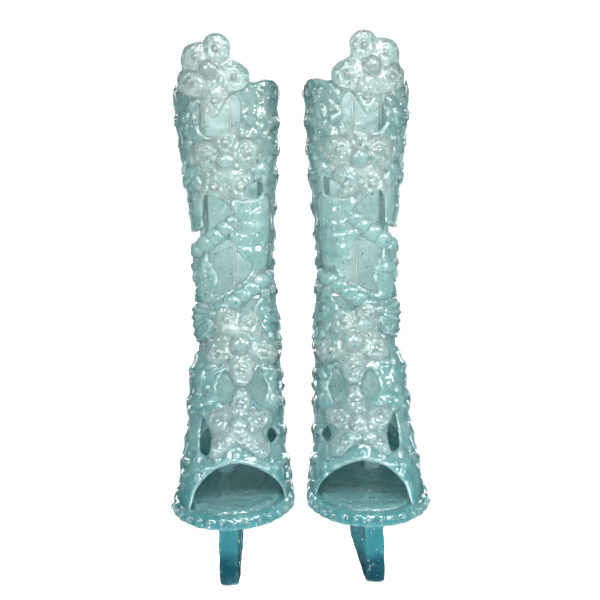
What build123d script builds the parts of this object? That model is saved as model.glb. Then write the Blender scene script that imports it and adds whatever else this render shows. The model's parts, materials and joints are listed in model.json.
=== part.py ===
from build123d import *
from collections import namedtuple
from math import asin, cos, degrees, hypot, radians, sin, sqrt
import os

# A pair of knee-high, open-toe, sea-themed boots for a fashion doll, in millimetres.
# +Z is up along the doll's shins, +X runs across the pair and the toes point to -Y. The doll's legs
# hold the boots up, so the origin is the middle of the left boot's grip on the calf. Both boots are
# drawn alike in their own terms: "height" is above the heel tips, "out" is the distance outward
# from the boot's own leg axis, "ahead" is towards the toes, and the right boot mirrors the left.

# ---------------------------------------------------------------- driving dimensions
LEG_SPACING = 18.45  # between the two leg axes
TOE_OUT = 4.5  # degrees that each foot turns outward
WALL = 1.1  # thickness of the boot's wall
RELIEF = 0.7  # how far the stars and strands stand proud of the wall
CUFF_TOP = 75.6  # height of the cuff's upper edge
SHAFT_FOOT = 43.0  # where the rear slit starts, above the heel counter
SIDE_SPLIT = 4.4  # half-width of the rear strip that holds the slit
FLAP_GAP = 0.35  # clearance round each rear flap
PLATFORM_THICKNESS = 2.0
PLATFORM_LEDGE = 0.5  # how far the outsole stands out past the wall
FOOTBED_THICKNESS = 0.6
CALF_BORE = 6.8  # radius of the round stretch inside the cuff that grips the doll's calf
CALF_BORE_FOOT = 69.0  # height where that stretch starts
CALF_BORE_OUT = 0.45  # its middle, outward of the leg axis
LOBE_CLEARANCE = 0.5  # how much further from the leg the lobes above the cuff stand
PEARL_RADIUS = 0.75  # beads down the sides of the boot
PEARL_PITCH = 4.2
RIM_PEARL_RADIUS = 0.6  # beads round the platform
PEARL_CUT = 0.35  # share of a bead's radius that its flat base cuts off
PEARL_SEAT = 0.12  # how deep that base is set into the surface
RIM_LEVEL = 11.0  # the level whose outline the platform's beads follow
HEEL_WIDTH = 2.9
HEEL_FRONT = 4.5  # the heel's front face, ahead of the leg axis
HEEL_OFFSET = 1.45  # the heel's middle, outward of the leg axis
HEEL_TURN = {"left": 0.0, "right": 8.5}  # degrees beyond the foot's own turn
REACH = 40.0  # longer than anything that is cut
BROAD = 12.0  # further out than the boot's own sides
OPENING_ROUNDING = 0.25
LOBE_ROUNDING = 0.6
SIGHT_STEPS = 4  # rounds that settle where a line of sight meets the wall
NUDGE = 0.1  # between two places that show which way the surface faces

# The boot's outer shape at each height: where its widest place lies ahead of the leg axis, how far
# it reaches ahead and behind, its half-width, and how far its middle stands outward.
Level = namedtuple("Level", "height widest ahead behind half_width out")
LEVELS = [
    Level(84.0, 0.0, 7.6, 7.6, 7.8, 0.5),
    Level(76.0, 0.0, 7.7, 7.7, 7.8, 0.5),
    Level(68.0, 0.0, 7.7, 7.7, 7.6, 0.4),
    Level(60.0, 0.0, 7.2, 7.3, 6.8, 0.1),
    Level(54.0, 0.0, 6.8, 6.9, 6.3, 0.0),
    Level(48.0, 0.0, 6.4, 6.4, 6.0, 0.0),
    Level(42.0, 0.0, 6.2, 6.1, 6.1, -0.3),
    Level(36.0, 0.4, 6.7, 6.3, 6.1, -0.6),
    Level(31.0, 1.3, 8.3, 6.8, 6.9, 0.0),
    Level(26.0, 3.0, 11.2, 7.4, 7.1, -0.1),
    Level(21.0, 5.5, 14.6, 7.4, 7.6, 0.0),
    Level(16.0, 7.8, 17.8, 6.8, 8.2, 0.0),
    Level(11.0, 9.5, 20.6, 6.4, 8.5, 0.0),
    Level(5.0, 9.5, 21.0, 6.0, 8.5, 0.0),
]

# Side view as (ahead, height): the top of the outsole, and its underside from the toe back.
SOLE_TOP = [(24.0, 9.4), (9.0, 14.0), (5.0, 16.0), (-2.5, 23.3), (-6.0, 24.6), (-10.0, 24.8)]
SOLE_UNDERSIDE = [(-10.0, 23.0), (-6.0, 22.8), (-2.0, 21.2), (5.2, 14.0), (9.0, 12.0), (24.0, 7.4)]

# Side view of the heel, measured from its own front face: the outline and the opening in it.
HEEL_OUTLINE = [(0, 18), (0, 0), (-1.3, 0), (-10.0, 6.6), (-11.9, 10.0), (-11.6, 24.5), (-7.0, 24.5)]
HEEL_OPENING = [(-3.0, 3.9), (-3.2, 15.0), (-7.4, 19.2), (-9.3, 20.0), (-9.5, 11.2), (-8.0, 8.4)]

SIDES = {"left": -1, "right": 1}


# ---------------------------------------------------------------- planes and places
def axis_point(side):
    """Foot of the boot's leg axis, level with the heel tips."""
    across = CALF_BORE_OUT + (LEG_SPACING if side == "right" else 0)
    return Vector(across, 0, -(CUFF_TOP + CALF_BORE_FOOT) / 2)


def foot_plane(side, height=0.0):
    """Level plane of a boot, turned with the foot: local -Y is ahead."""
    angle = radians(SIDES[side] * TOE_OUT)
    return Plane(axis_point(side), x_dir=(cos(angle), sin(angle), 0), z_dir=(0, 0, 1)).offset(height)


def side_plane(side):
    """Upright plane through the leg axis: local +X is ahead and local +Y is up."""
    foot = foot_plane(side)
    return Plane(foot.origin, x_dir=foot.y_dir * -1, z_dir=foot.x_dir * -1)


def heel_plane(side):
    """Upright plane through the heel's front face: local +X is ahead and local +Y is up."""
    foot = foot_plane(side)
    start = foot.from_local_coords(Vector(SIDES[side] * HEEL_OFFSET, -HEEL_FRONT, 0))
    angle = radians(SIDES[side] * (TOE_OUT + HEEL_TURN[side]))
    return Plane(start, x_dir=(sin(angle), -cos(angle), 0), z_dir=(-cos(angle), -sin(angle), 0))


def front_plane(side):
    """Upright plane through the leg axis that faces the pair's front."""
    return Plane(axis_point(side), x_dir=(1, 0, 0), z_dir=(0, -1, 0))


def level_at(height):
    """The boot's outer shape at any height, between the levels listed."""
    for upper, lower in zip(LEVELS, LEVELS[1:]):
        if height >= lower.height:
            share = (height - lower.height) / (upper.height - lower.height)
            return Level(*(low + share * (high - low) for low, high in zip(lower, upper)))
    return LEVELS[-1]


def place_on_rim(side, height, angle, growth=0.0):
    """Point on the outer shape at a height: angle 0 is ahead and 90 degrees is outward."""
    level = level_at(height)
    reach = level.ahead - level.widest if cos(radians(angle)) > 0 else level.behind + level.widest
    ahead = level.widest + (reach + growth) * cos(radians(angle))
    out = level.out + (level.half_width + growth) * sin(radians(angle))
    return foot_plane(side, height).from_local_coords(Vector(SIDES[side] * out, -ahead, 0))


def place_in_front(side, out, height, growth=0.0):
    """Point on the outer shape that shows at (out, height) on the front view."""
    level = level_at(height)
    turn = radians(TOE_OUT)
    ahead = level.ahead
    for _ in range(SIGHT_STEPS):
        across = (out - ahead * sin(turn)) / cos(turn)
        share = min(1.0, abs(across - level.out) / (level.half_width + growth))
        ahead = level.widest + (level.ahead - level.widest + growth) * sqrt(1 - share**2)
    return foot_plane(side, height).from_local_coords(Vector(SIDES[side] * across, -ahead, 0))


def surface_in_front(side, out, height, growth):
    """A point of the front, as place_in_front gives it, and the direction that faces out there."""
    place = place_in_front(side, out, height, growth)
    across = place_in_front(side, out + NUDGE, height, growth) - place
    up = place_in_front(side, out, height + NUDGE, growth) - place
    return place, across.cross(up).normalized() * SIDES[side]


def sole_height(ahead):
    """Height of the outsole's top at a distance ahead of the leg axis."""
    for front, back in zip(SOLE_TOP, SOLE_TOP[1:]):
        if ahead >= back[0]:
            return back[1] + (ahead - back[0]) * (front[1] - back[1]) / (front[0] - back[0])
    return SOLE_TOP[-1][1]


# ---------------------------------------------------------------- solids that several parts share
def form(side, growth):
    """The boot's outer shape as one solid, grown by so much all round."""
    with BuildPart() as body:
        for level in LEVELS:
            with BuildSketch(foot_plane(side, level.height)):
                with BuildLine():
                    middle = (SIDES[side] * level.out, -level.widest)
                    half = level.half_width + growth
                    to_toe = level.ahead - level.widest + growth
                    to_heel = level.behind + level.widest + growth
                    EllipticalCenterArc(middle, half, to_toe, 180, arc_size=180)
                    EllipticalCenterArc(middle, half, to_heel, 0, arc_size=180)
                make_face()
        loft()
    return body.part


def inner_form(side):
    """The room for the leg, round where the cuff grips the calf."""
    with BuildPart() as room:
        add(form(side, -WALL))
        for radius, foot, top in (
            (CALF_BORE, CALF_BORE_FOOT, CUFF_TOP),
            (CALF_BORE + LOBE_CLEARANCE, CUFF_TOP, LEVELS[0].height),
        ):
            with BuildSketch(Plane(axis_point(side)).offset(foot)):
                with Locations((SIDES[side] * CALF_BORE_OUT, 0)):
                    Circle(radius)
            extrude(amount=top - foot)
    return room.part


def side_block(side, points):
    """A side-view outline, extruded right across the boot."""
    with BuildPart() as block:
        with BuildSketch(side_plane(side)):
            with BuildLine():
                Polyline(*points, close=True)
            make_face()
        extrude(amount=REACH / 2, both=True)
    return block.part


def lifted(points, rise):
    """A side-view line raised by so much."""
    return [(ahead, height + rise) for ahead, height in points]


# ---------------------------------------------------------------- outlines on the front view
def area(side, points, radius=0.0):
    """A polygon through points given as (out, height), its corners rounded."""
    with BuildSketch() as outline:
        with BuildLine():
            Polyline(*[(SIDES[side] * out, height) for out, height in points], close=True)
        make_face()
        if radius:
            fillet(outline.vertices(), radius)
    return outline.sketch


def star_area(side, star):
    """A five-lobed starfish: its tips, and a waist between each two of them."""
    points = []
    for tip, following in zip(star.tips, star.tips[1:] + star.tips[:1]):
        out = (tip[0] + following[0]) / 2 - star.middle[0]
        up = (tip[1] + following[1]) / 2 - star.middle[1]
        share = star.waist / hypot(out, up)
        points.append(tip)
        points.append((star.middle[0] + out * share, star.middle[1] + up * share))
    return area(side, points, LOBE_ROUNDING)


def strand_area(side, strand):
    """A straight strand with round ends."""
    start, end, width = strand
    run = Vector(SIDES[side] * (end[0] - start[0]), end[1] - start[1])
    middle = (SIDES[side] * (start[0] + end[0]) / 2, (start[1] + end[1]) / 2)
    with BuildSketch() as outline:
        with Locations(middle):
            SlotCenterToCenter(run.length, width, rotation=Vector(1, 0).get_signed_angle(run))
    return outline.sketch


# Openings in the wall, from the top down.
OPENINGS = {
    "under_top_star": [(-1.8, 67.8), (-1.7, 72.6), (-0.5, 73.6), (1.5, 70.6), (4.0, 72.4), (4.9, 70.6),
                       (4.5, 67.8), (1.5, 66.9)],
    "side_window": [(-2.1, 59.4), (-4.3, 60.4), (-4.3, 58.1), (-2.2, 58.1)],
    "under_calf_star": [(4.1, 58.1), (2.4, 58.1), (-0.3, 55.7), (0.9, 54.9), (4.0, 52.9)],
    "outer_notch": [(3.4, 53.6), (6.5, 53.3), (9.5, 52.8), (9.5, 51.4), (5.6, 51.4), (3.1, 52.5)],
    "above_lower_strand": [(0.3, 51.6), (-1.4, 48.9), (-2.9, 48.1), (-2.4, 46.8), (-1.2, 45.4), (2.9, 43.4),
                           (2.2, 46.0), (3.7, 49.6), (2.1, 50.8)],
    "under_lower_strand": [(-1.0, 40.8), (-2.4, 42.6), (-3.8, 43.3), (-3.0, 41.6), (-2.0, 40.7)],
    "outer_lens": [(1.6, 31.7), (2.8, 29.7), (2.7, 28.2), (1.8, 27.4), (0.9, 27.6), (0.4, 29.5)],
    "inner_lens": [(-3.5, 32.1), (-2.3, 29.9), (-2.5, 28.6), (-3.5, 26.8), (-4.5, 29.0)],
    "outer_slot": [(5.0, 25.0), (3.9, 22.0), (4.4, 19.7), (5.5, 20.4)],
    "inner_slot": [(-5.0, 23.4), (-4.5, 22.3), (-5.0, 21.3), (-5.7, 22.3)],
    "toe_opening": [(6.6, 13.4), (5.1, 15.9), (3.2, 17.4), (0.3, 18.2), (-2.7, 17.5), (-5.3, 15.9),
                    (-6.7, 13.4), (-7.0, 6.0), (7.0, 6.0)],
}

# Starfish: middle, waist and the tips of the five lobes, clockwise from the top.
Star = namedtuple("Star", "middle waist tips")
STARS = {
    "top_star": Star((3.0, 76.6), 4.0, [(1.2, 82.6), (6.5, 80.8), (7.9, 74.6), (1.7, 69.6), (-3.2, 75.5)]),
    "calf_star": Star((0.8, 62.6), 4.2, [(0.9, 68.6), (5.7, 65.6), (4, 57.4), (-2.9, 57.4), (-4.5, 66)]),
    "ankle_star": Star((-0.8, 36.2), 3.8, [(2.6, 42.2), (4.8, 34.2), (-1, 29.6), (-6.6, 34), (-3, 41)]),
    "instep_star": Star(
        (-0.2, 23.9), 3.0, [(-0.9, 29.6), (5.1, 25.1), (4.6, 19.4), (-4.5, 19.2), (-5.4, 25.3)]
    ),
}

# The two twisted strands: start, end and width.
STRANDS = {
    "upper_strand": ((5.6, 50.1), (-0.8, 53.8), 2.6),
    "lower_strand": ((3.6, 41.0), (-4.7, 46.0), 2.1),
}

# The fan-shaped shell on the outer side of the ankle.
FAN_SHELL = [(2.6, 41.6), (4.0, 42.4), (BROAD, 42.4), (BROAD, 36.6), (4.4, 36.6), (3.0, 38.4)]

# Plain stretches of the wall, in the order in which they take what the shapes above leave over.
PANELS = {
    "shell_panel": [(-0.6, 58.1), (-5.4, 58.1), (-5.4, 47.0), (0.6, 47.0), (0.6, 55.5)],
    "outer_calf_panel": [(1.5, CUFF_TOP), (BROAD, CUFF_TOP), (BROAD, 52.6), (1.5, 52.6)],
    "inner_calf_panel": [(1.5, CUFF_TOP), (-BROAD, CUFF_TOP), (-BROAD, 58.1), (1.5, 58.1)],
    "inner_shin_band": [(-BROAD, 58.1), (-BROAD, 38.5), (-2.0, 38.5), (-0.6, 44.0), (-0.6, 58.1)],
    "outer_shin_band": [(BROAD, 52.6), (BROAD, 38.5), (-1.2, 38.5), (-1.2, 44.0), (1.4, 52.6)],
    "toe_band": [(-BROAD, 20.4), (BROAD, 20.4), (BROAD, 5.0), (-BROAD, 5.0)],
    "outer_foot_band": [(-0.8, 38.5), (BROAD, 38.5), (BROAD, 20.4), (-0.8, 20.4)],
    "inner_foot_band": [(-0.8, 38.5), (-BROAD, 38.5), (-BROAD, 20.4), (-0.8, 20.4)],
}
RAISED = {"fan_shell", *STARS, *STRANDS}

# Beads on the stars, as (out, height, radius).
STAR_DOMES = [(3.1, 77.2, 1.5), (0.8, 63.4, 1.5), (-0.8, 36.0, 1.6), (-0.2, 23.9, 1.5)]
LOBE_BEAD_RADIUS = 0.75
LOBE_BEAD_PLACE = 0.68  # of the way from a star's middle to a tip

# Rows of side beads: the angle round the boot and the heights that they span.
SIDE_ROWS = {"outer_side_pearls": (98, 73.5, 16.0), "inner_side_pearls": (-98, 73.5, 16.0)}
RIM_PEARL_ANGLES = range(-78, 79, 12)


def bead(place, outward, radius):
    """A dome with a flat base, set into the surface and facing outward."""
    with Locations(Plane(place - outward * PEARL_SEAT, z_dir=outward)):
        base = (Align.CENTER, Align.CENTER, Align.MIN)
        Sphere(radius, arc_size1=degrees(asin(PEARL_CUT)), arc_size2=90, align=base)


os.makedirs("parts", exist_ok=True)


def drop_scraps(stretch):
    """Leave out the slivers that lie between two outlines."""
    largest = stretch.solids().sort_by(SortBy.VOLUME)[-1]
    add(largest, mode=Mode.INTERSECT)


def keep(piece, side, name):
    """Name a finished piece and write it."""
    piece.part.label = f"{side}_{name}"
    print(piece.part.label, len(piece.part.solids()), round(piece.part.volume, 1))
    export_step(piece.part, f"parts/{piece.part.label}.step")


for side, sign in SIDES.items():
    leg_space = inner_form(side)
    outer_form = form(side, 0)
    raised_form = form(side, RELIEF)
    below = [(-REACH, SOLE_TOP[-1][1]), (-REACH, -REACH), (REACH, -REACH), (REACH, SOLE_TOP[0][1])]
    under_foot = side_block(side, [*SOLE_TOP, *below])
    wall = outer_form - leg_space - under_foot
    raised_wall = raised_form - leg_space - under_foot

    # Share the front view out between the openings, the shapes and the plain panels, in that order.
    shapes = {name: star_area(side, star) for name, star in STARS.items()}
    shapes |= {name: strand_area(side, strand) for name, strand in STRANDS.items()}
    shapes["fan_shell"] = area(side, FAN_SHELL)
    shapes |= {name: area(side, points) for name, points in PANELS.items()}
    taken = Sketch() + [area(side, points, OPENING_ROUNDING) for points in OPENINGS.values()]
    top = LEVELS[0].height
    taken_behind = area(side, [(-SIDE_SPLIT, 0), (SIDE_SPLIT, 0), (SIDE_SPLIT, top), (-SIDE_SPLIT, top)])
    for name, shape in shapes.items():
        with BuildPart() as stretch:
            with BuildSketch(front_plane(side)):
                add(shape)
                add(taken, mode=Mode.SUBTRACT)
            extrude(amount=REACH)
            if name in PANELS:
                with BuildSketch(front_plane(side)):
                    add(shape)
                    add(taken_behind, mode=Mode.SUBTRACT)
                extrude(amount=-REACH)
                taken_behind += shape
            add(raised_wall if name in RAISED else wall, mode=Mode.INTERSECT)
            drop_scraps(stretch)
        taken += shape
        keep(stretch, side, name)

    # The rear strip: a heel counter below, and two flaps beside the slit above it.
    with BuildPart() as heel_counter:
        with BuildSketch(front_plane(side)):
            with Locations((0, SHAFT_FOOT / 2)):
                Rectangle(2 * SIDE_SPLIT, SHAFT_FOOT)
        extrude(amount=-REACH)
        add(wall, mode=Mode.INTERSECT)
    keep(heel_counter, side, "heel_counter")

    flap_width = SIDE_SPLIT - 1.5 * FLAP_GAP
    flap_height = CUFF_TOP - SHAFT_FOOT - FLAP_GAP
    for name, outward in (("outer", sign), ("inner", -sign)):
        with BuildPart() as rear_flap:
            with BuildSketch(front_plane(side)):
                with Locations((outward * (FLAP_GAP + flap_width) / 2, CUFF_TOP - flap_height / 2)):
                    Rectangle(flap_width, flap_height)
            extrude(amount=-REACH)
            add(wall, mode=Mode.INTERSECT)
        keep(rear_flap, side, f"rear_flap_{name}")

    # The sole: platform, arch and heel seat in one piece, with a footbed on top.
    with BuildPart() as outsole:
        add(form(side, PLATFORM_LEDGE))
        add(side_block(side, [*SOLE_TOP, *SOLE_UNDERSIDE]), mode=Mode.INTERSECT)
    keep(outsole, side, "outsole")

    with BuildPart() as footbed:
        add(leg_space)
        footbed_top = lifted(reversed(SOLE_TOP), FOOTBED_THICKNESS)
        add(side_block(side, [*SOLE_TOP, *footbed_top]), mode=Mode.INTERSECT)
    keep(footbed, side, "footbed")

    # The heel: a thin upright frame with a slanting opening through it.
    with BuildPart() as heel:
        with BuildSketch(heel_plane(side)):
            with BuildLine():
                Polyline(*HEEL_OUTLINE, close=True)
            make_face()
            with BuildLine():
                Polyline(*HEEL_OPENING, close=True)
            make_face(mode=Mode.SUBTRACT)
        extrude(amount=HEEL_WIDTH / 2, both=True)
        add(side_block(side, [*SOLE_UNDERSIDE, (REACH, top), (-REACH, top)]), mode=Mode.SUBTRACT)
    keep(heel, side, "heel")

    # Beads: two side rows, one round the platform, and those on the starfish.
    for name, (angle, highest, lowest) in SIDE_ROWS.items():
        with BuildPart() as side_pearls:
            for row in range(int((highest - lowest) / PEARL_PITCH) + 1):
                height = highest - row * PEARL_PITCH
                place = place_on_rim(side, height, angle)
                bead(place, (place_on_rim(side, height, angle, 1) - place).normalized(), PEARL_RADIUS)
        keep(side_pearls, side, name)

    with BuildPart() as rim_pearls:
        for angle in RIM_PEARL_ANGLES:
            place = place_on_rim(side, RIM_LEVEL, angle, PLATFORM_LEDGE)
            outward = (place_on_rim(side, RIM_LEVEL, angle, PLATFORM_LEDGE + 1) - place).normalized()
            ahead = side_plane(side).to_local_coords(place).X
            place.Z = axis_point(side).Z + sole_height(ahead) - PLATFORM_THICKNESS / 2
            bead(place, outward, RIM_PEARL_RADIUS)
    keep(rim_pearls, side, "rim_pearls")

    with BuildPart() as star_domes:
        for out, height, radius in STAR_DOMES:
            bead(*surface_in_front(side, out, height, RELIEF), radius)
    keep(star_domes, side, "star_domes")

    with BuildPart() as lobe_beads:
        for star in STARS.values():
            for tip in star.tips:
                out = star.middle[0] + LOBE_BEAD_PLACE * (tip[0] - star.middle[0])
                height = star.middle[1] + LOBE_BEAD_PLACE * (tip[1] - star.middle[1])
                bead(*surface_in_front(side, out, height, RELIEF), LOBE_BEAD_RADIUS)
    keep(lobe_beads, side, "lobe_beads")
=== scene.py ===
"""A pair of sea-themed doll boots in translucent, glittery vinyl.

Sizes are in millimetres in each boot's own terms, as in the CAD: "out" is outward from the leg axis,
"ahead" is towards the toes and "up" is above the heel tips. The right boot mirrors the left. The wall,
flaps, starfish, shells, sole and heel are each drawn as a field of distances to a surface, so that edges
are soft and shapes run into one another as they do in a moulding, and are then meshed. The strands are
twisted tubes, and the beads are turned.
"""

import json
import math

import bpy
import numpy as np
import openvdb
from mathutils import Matrix, Vector


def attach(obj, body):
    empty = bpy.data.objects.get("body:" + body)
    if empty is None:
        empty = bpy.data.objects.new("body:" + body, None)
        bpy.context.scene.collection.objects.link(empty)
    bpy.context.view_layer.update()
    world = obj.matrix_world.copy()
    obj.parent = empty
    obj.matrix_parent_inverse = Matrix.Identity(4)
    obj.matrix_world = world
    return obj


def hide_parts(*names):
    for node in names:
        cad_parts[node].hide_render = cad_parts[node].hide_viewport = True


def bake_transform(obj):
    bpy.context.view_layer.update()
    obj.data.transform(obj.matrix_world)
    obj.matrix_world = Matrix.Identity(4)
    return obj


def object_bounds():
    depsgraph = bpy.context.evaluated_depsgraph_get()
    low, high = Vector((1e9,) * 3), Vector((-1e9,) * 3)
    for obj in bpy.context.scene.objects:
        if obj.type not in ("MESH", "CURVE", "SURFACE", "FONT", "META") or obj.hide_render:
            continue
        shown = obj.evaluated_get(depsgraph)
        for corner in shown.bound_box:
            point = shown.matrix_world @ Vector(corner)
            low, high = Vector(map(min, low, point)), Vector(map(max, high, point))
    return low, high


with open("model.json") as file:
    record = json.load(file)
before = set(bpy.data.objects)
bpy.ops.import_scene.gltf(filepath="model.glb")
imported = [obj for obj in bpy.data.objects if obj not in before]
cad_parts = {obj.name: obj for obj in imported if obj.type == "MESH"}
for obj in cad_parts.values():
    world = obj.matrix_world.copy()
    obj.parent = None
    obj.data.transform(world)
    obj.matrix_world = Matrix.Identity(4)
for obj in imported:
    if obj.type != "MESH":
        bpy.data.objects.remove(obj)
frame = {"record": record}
cad_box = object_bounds()

# ---------------------------------------------------------------- sizes shared with the CAD
MM = 0.001
SIDES = {"left": -1, "right": 1}
CALF_BORE_OUT = 0.45
ORIGIN_HEIGHT = 72.3
TOE_OUT = math.radians(4.5)
WALL = 1.1
CUFF_TOP = 75.6
SHAFT_FOOT = 43.0
SIDE_SPLIT = 4.4
FLAP_GAP = 0.35
CALF_BORE = 6.8
CALF_BORE_FOOT = 69.0
PLATFORM_LEDGE = 0.5
PLATFORM_THICKNESS = 2.0
PEARL_PITCH = 4.2
HEEL_WIDTH = 2.9
HEEL_FRONT = 4.5
HEEL_OFFSET = 1.45
HEEL_TURN = {"left": 0.0, "right": math.radians(8.5)}

# height, widest place, reach ahead, reach behind, half-width, middle
LEVELS = np.array(
    [
        (5.0, 9.5, 21.0, 6.0, 8.5, 0.0),
        (11.0, 9.5, 20.6, 6.4, 8.5, 0.0),
        (16.0, 7.8, 17.8, 6.8, 8.2, 0.0),
        (21.0, 5.5, 14.6, 7.4, 7.6, 0.0),
        (26.0, 3.0, 11.2, 7.4, 7.1, -0.1),
        (31.0, 1.3, 8.3, 6.8, 6.9, 0.0),
        (36.0, 0.4, 6.7, 6.3, 6.1, -0.6),
        (42.0, 0.0, 6.2, 6.1, 6.1, -0.3),
        (48.0, 0.0, 6.4, 6.4, 6.0, 0.0),
        (54.0, 0.0, 6.8, 6.9, 6.3, 0.0),
        (60.0, 0.0, 7.2, 7.3, 6.8, 0.1),
        (68.0, 0.0, 7.7, 7.7, 7.6, 0.4),
        (76.0, 0.0, 7.7, 7.7, 7.8, 0.5),
        (84.0, 0.0, 7.6, 7.6, 7.8, 0.5),
    ]
)
SOLE_TOP = [(24.0, 9.4), (9.0, 14.0), (5.0, 16.0), (-2.5, 23.3), (-6.0, 24.6), (-10.0, 24.8)]
SOLE_UNDERSIDE = [(-10.0, 23.0), (-6.0, 22.8), (-2.0, 21.2), (5.2, 14.0), (9.0, 12.0), (24.0, 7.4)]
HEEL_OUTLINE = [(0, 18), (0, 0), (-1.3, 0), (-10.0, 6.6), (-11.9, 10.0), (-11.6, 24.5), (-7.0, 24.5)]
HEEL_OPENING = [(-3.0, 3.9), (-3.2, 15.0), (-7.4, 19.2), (-9.3, 20.0), (-9.5, 11.2), (-8.0, 8.4)]

OPENINGS = {
    "under_top_star": [
        (-1.1, 68.2), (-1.5, 72.0), (-0.6, 73.2), (0.5, 72.2), (2.0, 69.9), (3.6, 70.5),
        (4.8, 71.2), (4.4, 68.0), (1.7, 67.2),
    ],
    "side_window": [(-2.1, 59.4), (-4.3, 60.4), (-4.3, 58.1), (-2.2, 58.1)],
    "under_calf_star": [(4.1, 58.1), (2.4, 58.1), (-0.3, 55.7), (0.9, 54.9), (4.0, 52.9)],
    "outer_notch": [
        (3.4, 53.9), (5.4, 53.1), (6.9, 52.8), (8.1, 53.6), (8.8, 55.2), (10.5, 55.8),
        (10.5, 51.4), (5.6, 51.4), (3.1, 52.5),
    ],
    "above_lower_strand": [
        (0.3, 51.6), (-1.4, 48.9), (-2.9, 48.1), (-2.4, 46.8), (-1.2, 45.4), (2.9, 43.4),
        (2.2, 46.0), (3.7, 49.6), (2.1, 50.8),
    ],
    "under_lower_strand": [(-1.0, 40.8), (-2.4, 42.6), (-3.8, 43.3), (-3.0, 41.6), (-2.0, 40.7)],
    "outer_lens": [(1.6, 31.7), (2.8, 29.7), (2.7, 28.2), (1.8, 27.4), (0.9, 27.6), (0.4, 29.5)],
    "inner_lens": [(-3.5, 32.1), (-2.3, 29.9), (-2.5, 28.6), (-3.5, 26.8), (-4.5, 29.0)],
    "outer_slot": [(5.0, 25.0), (3.9, 22.0), (4.4, 19.7), (5.5, 20.4)],
    "inner_slot": [(-5.0, 23.4), (-4.5, 22.3), (-5.0, 21.3), (-5.7, 22.3)],
    "toe_opening": [
        (6.6, 13.4), (5.1, 15.9), (3.2, 17.4), (0.3, 18.2), (-2.7, 17.5), (-5.3, 15.9),
        (-6.7, 13.4), (-7.0, 6.0), (7.0, 6.0),
    ],
}
STARS = {  # middle, waist, tips of the lobes
    "top_star": ((3.0, 76.6), 4.0, [(1.2, 82.6), (6.5, 80.8), (7.9, 74.6), (1.7, 69.6), (-3.2, 75.5)]),
    "calf_star": ((0.8, 62.6), 4.2, [(0.9, 68.6), (5.7, 65.6), (4.0, 57.4), (-2.9, 57.4), (-4.5, 66.0)]),
    "ankle_star": ((-0.8, 36.2), 3.8, [(2.6, 42.2), (4.8, 34.2), (-1.0, 29.6), (-6.6, 34.0), (-3.0, 41.0)]),
    "instep_star": ((-0.2, 23.9), 3.0, [(-0.9, 29.6), (5.1, 25.1), (4.6, 19.4), (-4.5, 19.2), (-5.4, 25.3)]),
}
LOBE_ENDS = {"top_star": 2.35, "calf_star": 2.15, "ankle_star": 2.0, "instep_star": 1.6}  # radius
STRANDS = {  # start, end, width
    "upper_strand": ((5.0, 50.6), (-0.4, 54.2), 2.6),
    "lower_strand": ((2.9, 40.7), (-4.7, 45.7), 2.4),
}
SHELLS = {  # outline, and the point that the shell's ribs spread from
    "fan_shell": (
        [(2.6, 41.6), (4.0, 42.4), (9.5, 42.4), (9.5, 36.6), (4.4, 36.6), (3.0, 38.4)],
        (2.2, 40.4),
    ),
    "shell_panel": (
        [(-0.6, 58.3), (-5.6, 58.3), (-5.6, 48.5), (-3.4, 46.8), (-0.6, 47.2), (0.7, 49.2), (0.7, 55.4)],
        (-2.9, 59.2),
    ),
}
STAR_DOMES = [(3.1, 77.2, 1.5), (0.8, 63.4, 1.5), (-0.8, 36.0, 1.6), (-0.2, 23.9, 1.5)]  # out, up, radius
LOBE_BEAD_RADIUS = 0.5625
LOBE_BEAD_PLACE = 0.6  # share of the way from the star's middle to the lobe's tip
SIDE_ROWS = {"outer_side_pearls": 98, "inner_side_pearls": -98}  # degrees from straight ahead
SIDE_ROW_TOP = 73.5
SIDE_ROW_COUNT = 14
NOTCH_ROW = 5  # the pearl that the outer notch leaves no wall for
NOTCH_BACK = -4.6  # the outer notch runs round the side as far back as this
PEARL_RADIUS = 0.75
RIM_PEARL_RADIUS = 0.6
RIM_LEVEL = 11.0
RIM_PEARL_ANGLES = range(-78, 79, 12)

axis_x = {}
for side, sign in SIDES.items():
    mount = next(m for m in frame["record"]["mounts"] if m["name"] == f"{side}_calf")
    axis_x[side] = mount["pos_m"][0] / MM - sign * CALF_BORE_OUT


def to_world(points, side):
    """Places in a boot's own millimetres as places in the frame, in metres."""
    points = np.asarray(points, dtype=np.float64)
    x = axis_x[side] + SIDES[side] * points[..., 0]
    return np.stack([x, -points[..., 1], points[..., 2] - ORIGIN_HEIGHT], axis=-1) * MM


# ---------------------------------------------------------------- fields
class Grid:
    """A box of evenly spaced sample places, in a boot's own millimetres."""

    def __init__(self, low, high, cell):
        counts = [int(math.ceil((b - a) / cell)) + 1 for a, b in zip(low, high)]
        axes = [a + cell * np.arange(n, dtype=np.float32) for a, n in zip(low, counts)]
        self.low = np.array(low)
        self.cell = cell
        self.out = axes[0][:, None, None]
        self.ahead = axes[1][None, :, None]
        self.up = axes[2][None, None, :]


def soft_max(a, b, blend):
    """The larger of two fields, with the edge between them rounded over so many millimetres."""
    share = np.clip(0.5 + 0.5 * (a - b) / blend, 0, 1)
    return b + (a - b) * share + blend * share * (1 - share)


def soft_min(a, b, blend):
    return -soft_max(-a, -b, blend)


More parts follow.
